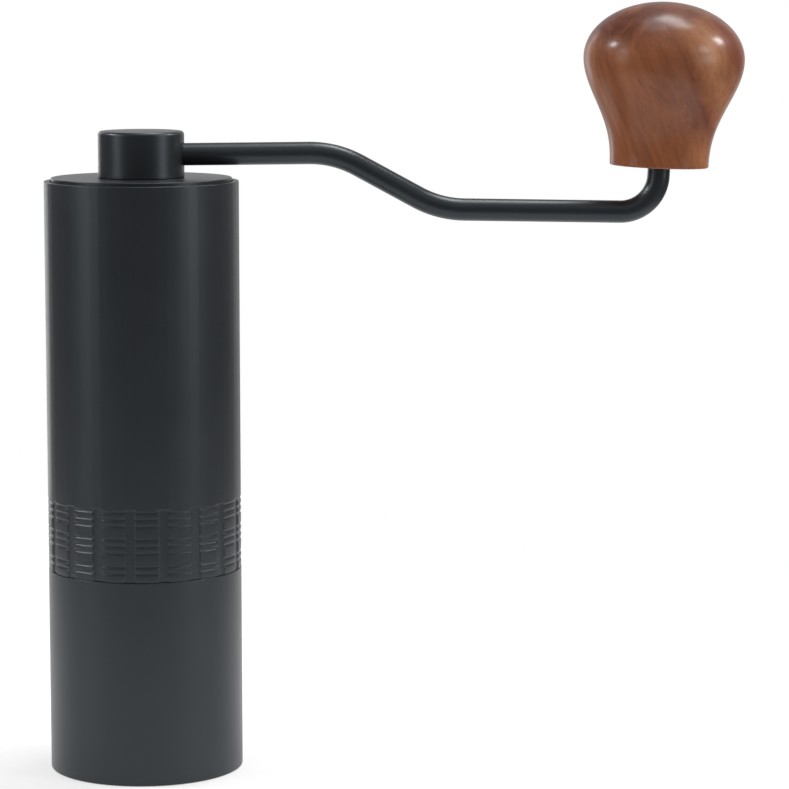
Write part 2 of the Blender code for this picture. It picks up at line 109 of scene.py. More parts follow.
CHANNELS = 18
CHANNEL_TURN = math.radians(5.6)
CHANNEL_WIDTH = 0.0028
CHANNEL_DEPTH = 0.00036
SOFT_EDGE = 0.0005  # width over which a channel's side runs out into its pad
GRIP_TOP_Z = 0.0743
GROOVE_PITCH = 0.00188
GROOVE_BANDS = ((0.00235, 2), (0.00780, 3), (0.01500, 3))  # lowest groove above the seam, and how many
GROOVE_WIDTH = 0.00110
GROOVE_DEPTH = 0.00032

THREAD_PITCH = 0.0020
THREAD_LOW_Z = 0.0477
THREAD_HIGH_Z = 0.0537
THREAD_DEPTH = 0.0005

CUP_BORE_R = 0.0233
CUP_FLOOR = 0.0030
CUP_LEDGE_Z = 0.0457

# ---- crank ----
ARM_START = Vector((-0.0060, 0, 0.16618))
ARM_CORNERS = (  # corner of the rod's centreline, and the radius of its bend
    (Vector((0.05180, 0, 0.16676)), 0.0270),
    (Vector((0.07960, 0, 0.15167)), 0.0270),
    (Vector((0.13776, 0, 0.15089)), 0.0101),
)
KNOB_BASE = Vector(KNOB_JOINT["pos_m"])
KNOB_AXIS = Vector(KNOB_JOINT["axis"]).normalized()
KNOB_TILT = math.atan2(KNOB_AXIS.x, KNOB_AXIS.z)
KNOB_PLACE = Matrix.Translation(KNOB_BASE) @ Matrix.Rotation(KNOB_TILT, 4, "Y")
KNOB_HEIGHT = 0.0436
KNOB_BELLY_HEIGHT = 0.0286
KNOB_BASE_R = 0.0132
KNOB_BELLY_R = 0.0214
NECK_CURVE = 1.22  # above 1, the neck stays slim for longer and then swells faster
KNOB_BORE_R = 0.0058
KNOB_BORE_DEPTH = 0.0310
SPINDLE_END = 0.0280
CLIP_HEIGHT = 0.0250


def polar(radius, angle, height=0.0):
    return Vector((radius * math.cos(angle), radius * math.sin(angle), height))


def new_object(name, data):
    made = bpy.data.objects.new(name, data)
    bpy.context.scene.collection.objects.link(made)
    return made


# ---- materials ----
def add_node(tree, kind, inputs=(), **settings):
    """A new shader node. Each input is a value, or the socket that it is joined to."""
    made = tree.nodes.new("ShaderNode" + kind)
    for setting, value in settings.items():
        setattr(made, setting, value)
    for socket, value in dict(inputs).items():
        if isinstance(value, bpy.types.NodeSocket):
            tree.links.new(value, made.inputs[socket])
        else:
            made.inputs[socket].default_value = value
    return made


class Look:
    """A material's node tree, with short ways to add nodes and join them."""

    def __init__(self, name, colour, roughness, metallic=0.0, **sockets):
        self.material = bpy.data.materials.new(name)
        self.material.use_nodes = True
        self.tree = self.material.node_tree
        self.shader = self.tree.nodes["Principled BSDF"]
        sockets |= {"Base Color": (*colour, 1.0), "Roughness": roughness, "Metallic": metallic}
        for socket, value in sockets.items():
            self.shader.inputs[socket.replace("_", " ")].default_value = value
        self.place = self.tree.nodes.new("ShaderNodeTexCoord").outputs["Object"]

    def node(self, kind, inputs=(), **settings):
        return add_node(self.tree, kind, inputs, **settings)

    def to(self, socket, value):
        """Joins an output to one of the shader's sockets."""
        self.tree.links.new(value, self.shader.inputs[socket])

    def stretched(self, scale, place=None):
        """Object coordinates, or the given ones, scaled along each axis."""
        return self.node("Mapping", {"Vector": place or self.place, "Scale": scale}).outputs["Vector"]

    def noise(self, vector, scale, detail, roughness=0.5, distortion=0.0):
        inputs = {"Vector": vector, "Scale": scale, "Detail": detail}
        inputs |= {"Roughness": roughness, "Distortion": distortion}
        return self.node("TexNoise", inputs).outputs["Fac"]

    def range(self, value, low, high, to_low, to_high):
        """The value, carried from low..high over to to_low..to_high and held there past the ends."""
        inputs = {"Value": value, "From Min": low, "From Max": high, "To Min": to_low, "To Max": to_high}
        return self.node("MapRange", inputs).outputs["Result"]

    def maths(self, operation, first, second):
        return self.node("Math", {0: first, 1: second}, operation=operation).outputs[0]

    def mix(self, share, under, over):
        """The colour over laid on the one under it, by its share."""
        under_socket, over_socket, mixed_socket = 6, 7, 2  # the Mix node's colour sockets
        if isinstance(over, tuple):
            over = (*over, 1.0)
        inputs = {"Factor": share, under_socket: under, over_socket: over}
        return self.node("Mix", inputs, data_type="RGBA").outputs[mixed_socket]

    def ramp(self, value, *stops):
        """A colour ramp: each stop is (position, colour)."""
        made = self.node("ValToRGB", {"Fac": value})
        elements = made.color_ramp.elements
        while len(elements) < len(stops):
            elements.new(1.0)
        for element, (position, colour) in zip(elements, stops):
            element.position = position
            element.color = (*colour, 1.0)
        return made.outputs["Color"]

    def bump(self, height, strength, distance):
        inputs = {"Height": height, "Strength": strength, "Distance": distance}
        return self.node("Bump", inputs).outputs["Normal"]


def anodised():
    """Satin black anodising over a fine bead-blasted surface."""
    look = Look(
        "black_anodised", (0.013, 0.0145, 0.0175), 0.38,
        Specular_IOR_Level=0.54, Specular_Tint=(0.84, 0.94, 1.0, 1.0),
    )
    grain = look.noise(look.place, 5200.0, 3.0, 0.6)
    cloud = look.noise(look.place, 60.0, 4.0, 0.55)
    tones = look.ramp(cloud, (0.30, (0.0115, 0.013, 0.0158)), (0.75, (0.0145, 0.016, 0.0192)))
    look.to("Base Color", tones)
    look.to("Roughness", look.range(look.maths("ADD", cloud, grain), 0.7, 1.4, 0.33, 0.40))
    look.to("Normal", look.bump(grain, 0.22, 0.00002))
    return look.material


def wood():
    """Oiled and polished red-brown hardwood. Its grain leans across the knob's axis, a dull violet band
    and a pale tan one run along the grain on one side, and the crown is darker on the other side."""
    look = Look(
        "red_brown_hardwood", (0.24, 0.074, 0.026), 0.45,
        Specular_IOR_Level=0.18, Coat_Weight=0.36, Coat_Roughness=0.21,
    )
    lean = math.radians(24)
    along = look.node("Mapping", {"Vector": look.place, "Rotation": (0, lean, 0)}).outputs["Vector"]
    wander = look.noise(look.stretched((70, 70, 16), along), 1.0, 3.0, 0.5)
    figure = look.noise(look.stretched((150, 150, 14), along), 1.0, 5.0, 0.62, 0.6)
    fibres = look.noise(look.stretched((700, 700, 30), along), 1.0, 4.0, 0.6)
    pores = look.noise(look.stretched((1500, 1500, 90), along), 1.0, 2.0, 0.5)
    across = look.node("SeparateXYZ", {"Vector": along}).outputs["X"]
    across = look.maths("ADD", across, look.range(wander, 0.3, 0.7, -0.0018, 0.0018))
    height = look.node("SeparateXYZ", {"Vector": look.place}).outputs["Z"]
    height = look.maths("ADD", height, look.range(wander, 0.3, 0.7, -0.002, 0.002))

    # the bands across the grain: plain at the crown and at the foot, streaked between them
    share = look.range(across, -0.012, 0.032, 0.0, 1.0)
    plain = look.ramp(
        share,
        (0.00, (0.281, 0.089, 0.030)),
        (0.42, (0.282, 0.090, 0.032)),
        (0.56, (0.333, 0.113, 0.044)),
        (0.635, (0.270, 0.090, 0.037)),
        (0.69, (0.345, 0.127, 0.052)),
        (0.80, (0.525, 0.247, 0.121)),
        (0.92, (0.210, 0.052, 0.019)),
    )
    streaked = look.ramp(
        share,
        (0.00, (0.281, 0.089, 0.030)),
        (0.42, (0.270, 0.085, 0.031)),
        (0.53, (0.230, 0.081, 0.043)),
        (0.60, (0.218, 0.074, 0.043)),
        (0.635, (0.161, 0.046, 0.025)),
        (0.69, (0.270, 0.087, 0.038)),
        (0.80, (0.389, 0.158, 0.069)),
        (0.92, (0.210, 0.052, 0.019)),
    )
    below_crown = look.range(height, 0.022, 0.032, 1.0, 0.15)
    above_foot = look.range(height, 0.003, 0.010, 0.1, 1.0)
    bands = look.mix(look.maths("MULTIPLY", below_crown, above_foot), plain, streaked)

    # a paler patch at the foot of the tan side
    tan_side = look.range(across, 0.004, 0.012, 0.0, 0.7)
    foot = look.range(height, 0.003, 0.012, 1.0, 0.0)
    bands = look.mix(look.maths("MULTIPLY", tan_side, foot), bands, (0.420, 0.165, 0.062))

    # the dark crown, which reaches lower on the other side
    leaning = look.maths("ADD", height, look.range(across, 0.000, 0.026, 0.0050, -0.0030))
    deep = look.range(leaning, 0.035, 0.040, 0.0, 0.9)
    light = look.range(height, 0.0305, 0.040, 0.0, 0.5)
    bands = look.mix(look.maths("MAXIMUM", deep, light), bands, (0.075, 0.014, 0.007))

    # dark and pale figure, fibres and pores along the grain
    colour = look.mix(look.range(figure, 0.36, 0.50, 0.38, 0.0), bands, (0.150, 0.042, 0.017))
    colour = look.mix(look.range(figure, 0.52, 0.70, 0.0, 0.45), colour, (0.370, 0.128, 0.045))
    colour = look.mix(look.range(fibres, 0.40, 0.64, 0.0, 0.30), colour, (0.130, 0.036, 0.015))
    colour = look.mix(look.range(pores, 0.62, 0.72, 0.0, 0.35), colour, (0.070, 0.020, 0.010))
    look.to("Base Color", colour)
    look.to("Roughness", look.range(fibres, 0.3, 0.7, 0.42, 0.52))
    look.to("Normal", look.bump(fibres, 0.10, 0.00005))
    return look.material


def steel(name, colour, roughness):
    """Turned steel with fine tool marks."""
    look = Look(name, colour, roughness, 1.0)
    marks = look.noise(look.stretched((300, 300, 9000)), 1.0, 3.0, 0.6)
    look.to("Roughness", look.range(marks, 0.3, 0.7, roughness - 0.07, roughness + 0.08))
    look.to("Normal", look.bump(marks, 0.10, 0.00001))
    return look.material


def brass():
    look = Look("brass", (0.62, 0.45, 0.18), 0.30, 1.0)
    marks = look.noise(look.stretched((300, 300, 7000)), 1.0, 3.0, 0.6)
    tarnish = look.noise(look.place, 240.0, 4.0, 0.6)
    look.to("Base Color", look.ramp(tarnish, (0.3, (0.50, 0.34, 0.12)), (0.7, (0.66, 0.49, 0.21))))
    look.to("Roughness", look.range(marks, 0.3, 0.7, 0.24, 0.38))
    return look.material


def moulded(name, colour, roughness, subsurface=0.0):
    """A moulded soft or hard plastic with a faint skin texture."""
    look = Look(name, colour, roughness, Subsurface_Weight=subsurface, Subsurface_Scale=0.001)
    skin = look.noise(look.place, 1500.0, 3.0, 0.6)
    look.to("Roughness", look.range(skin, 0.3, 0.7, roughness - 0.06, roughness + 0.06))
    look.to("Normal", look.bump(skin, 0.15, 0.00002))
    return look.material


LOOKS = {
    "black_anodised": anodised(),
    "wood": wood(),
    "steel": steel("machined_steel", (0.56, 0.56, 0.57), 0.30),
    "spring_steel": steel("spring_steel", (0.36, 0.36, 0.37), 0.34),
    "brass": brass(),
    "silicone": moulded("grey_silicone", (0.060, 0.060, 0.062), 0.62),
    "nylon": moulded("natural_nylon", (0.70, 0.69, 0.65), 0.50, 0.3),
}


# ---- mesh helpers ----
def rounded(corners, closed=False, step=math.radians(18)):
    """The path through the corners, each a point and the radius of its arc."""
    path = []
    for i, (corner, radius) in enumerate(corners):
        if radius == 0 or (not closed and i in (0, len(corners) - 1)):
            path.append(corner)
            continue
        into = (corner - corners[i - 1][0]).normalized()
        out = (corners[(i + 1) % len(corners)][0] - corner).normalized()
        bend = into.angle(out)
        side_start = corner - into * (radius * math.tan(bend / 2))
        centre = corner + (out - into).normalized() * (radius / math.cos(bend / 2))
        side = (side_start - centre).normalized()
        steps = max(2, round(bend / step))
        for k in range(steps + 1):
            angle = bend * k / steps
            path.append(centre + radius * (side * math.cos(angle) + into * math.sin(angle)))
    return path


def outline(*corners, closed=True):
    """A profile from (radius, height) or (radius, height, rounding) corners."""
    points = [(Vector((c[0], c[1], 0)), c[2] if len(c) > 2 else 0) for c in corners]
    return [(point.x, point.y) for point in rounded(points, closed)]


def ring_outline(outer_r, inner_r, low_z, high_z, edge):
    """The profile of a plain ring with broken edges."""
    corners = ((outer_r, high_z), (outer_r, low_z), (inner_r, low_z), (inner_r, high_z))
    return outline(*((*corner, edge) for corner in corners))


def even_angles(count):
    return [2 * math.pi * i / count for i in range(count)]


def lathe(profile, angles=96, shape=None, twist=None):
    """A turned mesh. shape(radius, angle, height), where given, returns each point's real radius, and
    twist(height) turns each row about the axis."""
    if isinstance(angles, int):
        angles = even_angles(angles)
    points, faces, rows = [], [], []
    on_axis = 1e-7
    for radius, height in profile:
        if radius < on_axis:
            rows.append([len(points)])
            points.append((0, 0, height))
            continue
        rows.append(list(range(len(points), len(points) + len(angles))))
        turn = twist(height) if twist else 0.0
        for angle in angles:
            real = shape(radius, angle, height) if shape else radius
            points.append(polar(real, angle + turn, height))
    around = len(angles)
    if profile[0][0] > on_axis:
        rows.append(rows[0])
    for upper, lower in zip(rows, rows[1:]):
        for i in range(around):
            k = (i + 1) % around
            corners = [upper[i % len(upper)], lower[i % len(lower)]]
            corners += [lower[k % len(lower)], upper[k % len(upper)]]
            corners = list(dict.fromkeys(corners))
            if len(corners) > 2:
                faces.append(corners)
    mesh = bpy.data.meshes.new("mesh")
    mesh.from_pydata(points, [], faces)
    return mesh


def finished(shape):
    """The mesh of a bmesh, which is then freed."""
    mesh = bpy.data.meshes.new("mesh")
    shape.to_mesh(mesh)
    shape.free()
    return mesh


def skinned(rings):
    """A closed solid through rings of points, all with as many points."""
    shape = bmesh.new()
    rings = [[shape.verts.new(point) for point in ring] for ring in rings]
    for lower, upper in zip(rings, rings[1:]):
        for k in range(len(lower)):
            n = (k + 1) % len(lower)
            shape.faces.new((lower[k], lower[n], upper[n], upper[k]))
    shape.faces.new(list(reversed(rings[0])))
    shape.faces.new(rings[-1])
    return finished(shape)


def tube(route, radii, sides):
    """A round rod or wire along the route. radii is one radius, or one for each point of the route."""
    if not isinstance(radii, list):
        radii = [radii] * len(route)
    across = None
    rings = []
    for i, (point, radius) in enumerate(zip(route, radii)):
        after = route[min(i + 1, len(route) - 1)]
        before = route[max(i - 1, 0)]
        along = (after - before).normalized()
        if across is None:
            across = along.cross(Vector((0, 1, 0)))
            if across.length < 0.1:
                across = along.cross(Vector((0, 0, 1)))
        across = (across - along * across.dot(along)).normalized()
        other = along.cross(across)
        offsets = [across * math.cos(angle) + other * math.sin(angle) for angle in even_angles(sides)]
        rings.append([point + offset * radius for offset in offsets])
    return skinned(rings)


def cut(mesh, *tools):
    """The mesh less the tools' meshes, as a new mesh."""
    target, *cutters = [new_object("cutting", shape) for shape in (mesh, *tools)]
    for cutter in cutters:
        modifier = target.modifiers.new("cut", "BOOLEAN")
        modifier.operation = "DIFFERENCE"
        modifier.solver = "EXACT"
        modifier.object = cutter
    bpy.context.view_layer.update()
    graph = bpy.context.evaluated_depsgraph_get()
    result = bpy.data.meshes.new_from_object(target.evaluated_get(graph))
    for used in (target, *cutters):
        bpy.data.objects.remove(used)
    return result


def prism(radius, sides, low_z, high_z, flat=None):
    """An upright prism, clipped to a double D where flat gives its half thickness."""
    angles = even_angles(sides)
    mesh = lathe([(0, high_z), (radius, high_z), (radius, low_z), (0, low_z)], angles)
    if flat:
        for vertex in mesh.vertices:
            vertex.co.y = max(-flat, min(flat, vertex.co.y))
    return mesh


def placed(mesh, matrix):
    mesh.transform(matrix)
    return mesh


def piece(name, mesh, slot, body, *replaced, sharp=35):
    """Puts a mesh in the scene as a finished piece that rides on a body and stands for CAD nodes."""
    made = new_object(name, mesh)
    mesh.name = name
    mesh.materials.clear()
    mesh.materials.append(LOOKS[slot])
    mesh.shade_smooth()
    mesh.set_sharp_from_angle(angle=math.radians(sharp))
    made.modifiers.new("normals", "WEIGHTED_NORMAL").keep_sharp = True
    if body:
        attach(made, body)
    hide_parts(*replaced)
    return made


def smooth_step(value):
    value = max(0.0, min(1.0, value))
    return value * value * (3 - 2 * value)


# ---- body ----
def grip_angles():
    """Lines round the barrel: close together at each channel's two edges, wide apart on its pads."""
    pitch = 2 * math.pi / CHANNELS
    half = CHANNEL_WIDTH / 2 / BODY_R
    edge = SOFT_EDGE / 2 / BODY_R
    offsets = [-half - edge, -half - edge / 3, -half + edge / 3, -half + edge, 0]
    offsets += [-offset for offset in reversed(offsets[:4])]
    pad = pitch - 2 * (half + edge)
    offsets += [half + edge + pad * share for share in (0.25, 0.5, 0.75)]
    return [CHANNEL_TURN + pitch * i + offset for i in range(CHANNELS) for offset in offsets]


def groove_heights():
    return [SEAM_Z + start + GROOVE_PITCH * i for start, count in GROOVE_BANDS for i in range(count)]


def grip_depth(angle, height):
    """How deep the grip's channels and grooves cut below the body's surface at this place."""
    pitch = 2 * math.pi / CHANNELS
    from_channel = abs((angle - CHANNEL_TURN + pitch / 2) % pitch - pitch / 2) * BODY_R
    across = smooth_step((CHANNEL_WIDTH / 2 - from_channel) / SOFT_EDGE + 0.5)
    below_top = smooth_step((GRIP_TOP_Z - height) / SOFT_EDGE + 0.5)
    depth = CHANNEL_DEPTH * across * below_top
    for middle in groove_heights():
        offset = abs(height - middle)
        if offset < GROOVE_WIDTH / 2:
            hollow = math.cos(math.pi / 2 * (offset / (GROOVE_WIDTH / 2)) ** 1.3)
            depth = max(depth, GROOVE_DEPTH * hollow)
    return depth


def grip_rows():
    """Heights of the rows across the grip, from the top down."""
    fine = 0.00009
    rows = {GRIP_TOP_Z + step * fine for step in (-3, -2, -1, 0, 1, 2, 3)}
    for middle in groove_heights():
        shares = (-1, -0.9, -0.7, -0.4, 0, 0.4, 0.7, 0.9, 1)
        rows |= {middle + GROOVE_WIDTH / 2 * share for share in shares}
    return sorted(rows, reverse=True)


def thread_wave(angle, height, turns=0.0):
    """0 in the thread's groove and 1 on its crest, along a right-hand helix."""
    root, flank, run_out = 0.30, 0.34, 0.0006
    along = (height / THREAD_PITCH - angle / (2 * math.pi) + turns) % 1.0
    crest = smooth_step((abs(along - 0.5) * 2 - root) / flank)
    return crest * smooth_step(min(height - THREAD_LOW_Z, THREAD_HIGH_Z - height) / run_out)


def thread_rows():
    count = 48
    return [THREAD_HIGH_Z - (THREAD_HIGH_Z - THREAD_LOW_Z) * i / count for i in range(count + 1)]


def in_thread(radius, thread_r, height):
    return abs(radius - thread_r) < 1e-6 and THREAD_LOW_Z <= height <= THREAD_HIGH_Z


def barrel_shape(radius, angle, height):
    """The grip's channels and grooves outside, and the thread on the neck."""
    margin = 0.0010
    if radius > NECK_R + margin and height < GRIP_TOP_Z + margin:
        return radius - grip_depth(angle, height)
    if in_thread(radius, NECK_R, height):
        return NECK_R - THREAD_DEPTH * (1 - thread_wave(angle, height))
    return radius


def make_barrel():
    seam_edge = 0.00012
    neck_chamfer = 0.0005
    soft, crisp = 0.0002, 0.0001
    profile = outline(
        (BODY_R, RIM_Z, RIM_EDGE),
        *((BODY_R, height) for height in grip_rows()),
        (BODY_R, SEAM_Z + seam_edge),
        (BODY_R - seam_edge, SEAM_Z),
        (NECK_R, SEAM_Z),
        *((NECK_R, height) for height in thread_rows()),
        (NECK_R - neck_chamfer, NECK_Z, soft),
        (BURR_BORE_R, NECK_Z, soft),
        (BURR_BORE_R, LOWER_LEDGE_Z, soft),
        (HOPPER_R, LOWER_LEDGE_Z),
        (HOPPER_R, UPPER_LEDGE_Z, soft),
        (UPPER_BORE_R, UPPER_LEDGE_Z),
        (UPPER_BORE_R, MOUTH_Z, crisp),
        (MOUTH_R, MOUTH_Z),
        (MOUTH_R, RIM_Z, crisp),
    )
    mesh = lathe(profile, grip_angles(), barrel_shape)
    piece("barrel_body", mesh, "black_anodised", "barrel", "barrel", sharp=50)


def cup_shape(radius, angle, height):
    """The cup's inner thread, whose ridges lie in the grooves of the neck's."""
    if in_thread(radius, NECK_R + GAP, height):
        return radius - (THREAD_DEPTH + 0.00005) * thread_wave(angle, height, 0.5)
    return radius


def make_cup():
    thread_r = NECK_R + GAP
    foot_r, recess_r, recess = 0.0222, 0.0218, 0.0003
    floor_fillet = 0.0020
    foot_edge, soft, lip = 0.0004, 0.0002, 0.00022
    profile = outline(
        (CUP_R, CUP_TOP_Z, lip),
        (CUP_R, 0, foot_edge),
        (foot_r, 0, soft),
        (recess_r, recess, soft),
        (0, recess),
        (0, CUP_FLOOR),
        (CUP_BORE_R, CUP_FLOOR, floor_fillet),
        (CUP_BORE_R, CUP_LEDGE_Z, soft),
        (thread_r, CUP_LEDGE_Z),
        *((thread_r, height) for height in reversed(thread_rows())),
        (thread_r, CUP_TOP_Z, soft),
    )
    mesh = lathe(profile, 160, cup_shape)
    piece("cup_body", mesh, "black_anodised", "catch_cup", "catch_cup")


# ---- lid ----
def make_lid():
    bore_r, boss_r, inside_r, skirt_r = 0.0094, 0.0120, 0.0205, 0.0234
    roof_z, boss_z = 0.1569, 0.1548
    groove_r, groove_low_z, groove_high_z = 0.0220, 0.1516, 0.1546
    round_edge, soft, crisp = 0.0003, 0.0002, 0.0001
    profile = outline(
        (LID_R, LID_TOP_Z, RIM_EDGE),
        (LID_R, MOUTH_Z + GAP, crisp),
        (skirt_r, MOUTH_Z + GAP),
        (skirt_r, groove_high_z, crisp),
        (groove_r, groove_high_z, soft),
        (groove_r, groove_low_z, soft),
        (skirt_r, groove_low_z, crisp),
        (skirt_r, LID_LOW.z, round_edge),
        (inside_r, LID_LOW.z, round_edge),
        (inside_r, roof_z, 0.0008),
        (boss_r, roof_z, 0.0005),
        (boss_r, boss_z, soft),
        (bore_r, boss_z, crisp),
        (bore_r, LID_TOP_Z, soft),
    )
    piece("lid_body", lathe(profile, 128), "black_anodised", "lid", "lid")

    cord_r = 0.0008
    middle_r = groove_r + 0.0002 + cord_r
    middle_z = (groove_low_z + groove_high_z) / 2
    seal = [
        (middle_r + cord_r * math.cos(angle), middle_z - cord_r * math.sin(angle))
        for angle in even_angles(16)
    ]
    piece("lid_seal", lathe(seal, 128), "silicone", "lid", "lid_seal_ring")

    flange_r, flange_z, flange = 0.0112, boss_z - GAP, 0.0008
    bush_bore_r, bush_top_z = 0.0073, LID_TOP_Z - 0.0002
    profile = outline(
        (bore_r - GAP, bush_top_z, crisp),
        (bore_r - GAP, flange_z),
        (flange_r, flange_z, crisp),
        (flange_r, flange_z - flange, soft),
        (bush_bore_r, flange_z - flange, soft),
        (bush_bore_r, bush_top_z, soft),
    )
    piece("lid_bearing_bush", lathe(profile), "nylon", "lid", "lid_bush")


# ---- crank ----
def make_hub():
    sleeve_r, groove_r = 0.0070, 0.0062
    groove_low_z, groove_high_z = 0.1525, 0.1537
    profile = outline(
        (0, HUB_TOP_Z),
        (HUB_R, HUB_TOP_Z, 0.0010),
        (HUB_R, HUB_BASE_Z, 0.0002),
        (sleeve_r, HUB_BASE_Z),
        (sleeve_r, groove_high_z),
        (groove_r, groove_high_z),
        (groove_r, groove_low_z),
        (sleeve_r, groove_low_z),
        (sleeve_r, HUB_LOW.z, 0.0003),
        (0, HUB_LOW.z),
        closed=False,
    )
    socket_half_flats, socket_top_z = 0.0037, 0.1620
    socket = prism(socket_half_flats / math.cos(math.pi / 6), 6, HUB_LOW.z - 0.001, socket_top_z)
    direction = (ARM_CORNERS[0][0] - ARM_START).normalized()
    bore_start, bore_end = ARM_START - direction * GAP, ARM_START + direction * 0.022
    bore = tube([bore_start, bore_end], ROD_R + 0.0001, 64)

    # the grub screw, along the Y axis behind the rod
    screw_z = (ARM_START + direction * 0.0060).z
    sideways = Matrix.Translation((0, 0, screw_z)) @ Matrix.Rotation(-math.pi / 2, 4, "X")
    screw_r, screw_tip, screw_head = 0.0015, 0.0033, 0.0098
    hole_r, hole_start, outside = 0.0017, 0.0005, 0.0150
    key_r, key_depth = 0.00086, 0.0018
    screw_hole = placed(prism(hole_r, 32, hole_start, outside), sideways)
    mesh = lathe(profile, 128)
    mesh = cut(mesh, socket, bore, screw_hole)
    piece("hub_body", mesh, "black_anodised", "crank", "crank_hub", sharp=30)
    profile = outline(
        (0, screw_head), (screw_r, screw_head, 0.0002), (screw_r, screw_tip, 0.0002), (0, screw_tip),
        closed=False,
    )
    key = prism(key_r, 6, screw_head - key_depth, outside)
    screw = cut(lathe(profile, 48), key)
    piece("grub_screw", placed(screw, sideways), "steel", "crank", "arm_grub_screw")


def make_arm():
    """The rod, from inside the hub to its end inside the knob, with the clip's groove near that end."""
    corners = [(ARM_START, 0), *ARM_CORNERS, (KNOB_BASE + KNOB_AXIS * SPINDLE_END, 0)]
    route = rounded(corners, step=math.radians(3))[:-1]
    radii = [ROD_R] * len(route)
    groove_r, chamfer = 0.0023, 0.0003
    low, high = CLIP_HEIGHT - 0.0002, CLIP_HEIGHT + 0.0012
    steps = [(low, ROD_R), (low, groove_r), (high, groove_r), (high, ROD_R)]
    steps += [(SPINDLE_END - chamfer, ROD_R), (SPINDLE_END, ROD_R - chamfer)]
    for height, radius in steps:
        route.append(KNOB_BASE + KNOB_AXIS * height)
        radii.append(radius)
    piece("arm_rod", tube(route, radii, 40), "black_anodised", "crank", "crank_arm")


def make_knob():
    """A neck that swells up to the belly, then an elliptical crown."""
    edge = 0.0005
    crown_steps, neck_steps = 28, 36
    crown_height = KNOB_HEIGHT - KNOB_BELLY_HEIGHT
    profile = [(0, KNOB_HEIGHT)]
    for i in range(1, crown_steps + 1):
        angle = math.pi / 2 * (1 - i / crown_steps)
        height = KNOB_BELLY_HEIGHT + crown_height * math.sin(angle)
        profile.append((KNOB_BELLY_R * math.cos(angle), height))
    for i in range(1, neck_steps + 1):
        height = edge + (KNOB_BELLY_HEIGHT - edge) * (1 - i / neck_steps)
        swell = (1 - math.cos(math.pi * (height / KNOB_BELLY_HEIGHT) ** NECK_CURVE)) / 2
        profile.append((KNOB_BASE_R + (KNOB_BELLY_R - KNOB_BASE_R) * swell, height))
    profile += outline(
        (KNOB_BASE_R, edge),
        (KNOB_BASE_R, 0, edge * 0.95),
        (KNOB_BORE_R, 0, 0.0003),
        (KNOB_BORE_R, KNOB_BORE_DEPTH, 0.0010),
        (0, KNOB_BORE_DEPTH),
        closed=False,
    )[1:]
    made = piece("wooden_knob", lathe(profile, 144), "wood", "knob", "knob")
    made.matrix_world = KNOB_PLACE


# ---- fixed pieces inside the body ----
def washer(node, name, inner_r, slot, body, edge, steps=96):
    """A plain ring with broken edges, as wide and as high as its CAD node."""
    low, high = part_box(node)
    profile = ring_outline(high.x, inner_r, low.z, high.z, edge)
    piece(name, lathe(profile, steps), slot, body, node)


def window(angle, inner_r, outer_r, half_spoke, low_z, high_z):
    """A prism through the bracket's web between two spokes, with rounded corners."""
    corner_r = 0.0009
    steps = 12
    corners = []
    for radius, ends in ((outer_r, (0.0, 1.0)), (inner_r, (1.0, 0.0))):
        margin = math.asin(half_spoke / radius)
        start, end = angle + margin, angle + 2 * math.pi / 3 - margin
        for i in range(steps + 1):
            share = ends[0] + (ends[1] - ends[0]) * i / steps
            turn = start + (end - start) * share
            corners.append((polar(radius, turn), corner_r if i in (0, steps) else 0))
    path = rounded(corners, closed=True)
    return skinned([[(p.x, p.y, z) for p in path] for z in (low_z, high_z)])


def make_bracket(node, name, web, ring, seat_z):
    """A machined spider: ring, web with three windows, and the hub with the bearing's seat. web and
    ring are the lower and upper heights of each."""
    low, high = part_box(node)
    hub_r, lip_r, bore_r = 0.0110, 0.0068, 0.0083
    inside_r = high.x - 0.0022
    edge, fillet = 0.00025, 0.0004
    profile = outline(
        (high.x, ring[1], edge),
        (high.x, ring[0], edge),
        (inside_r, ring[0], edge),
        (inside_r, web[0], fillet),
        (hub_r, web[0], fillet),
        (hub_r, low.z, edge),
        (lip_r, low.z, edge),
        (lip_r, seat_z),
        (bore_r, seat_z),
        (bore_r, high.z, edge),
        (hub_r, high.z, edge),
        (hub_r, web[1], fillet),
        (inside_r, web[1], fillet),
        (inside_r, ring[1], edge),
    )
    mesh = lathe(profile, 120)
    half_spoke, past = 0.0020, 0.001
    for i in range(3):
        angle = math.radians(90 + 120 * i)
        inner_r, outer_r = hub_r + fillet, inside_r - 0.0002
        mesh = cut(mesh, window(angle, inner_r, outer_r, half_spoke, low.z - past, high.z + past))
    piece(name, mesh, "black_anodised", "barrel", node, sharp=30)


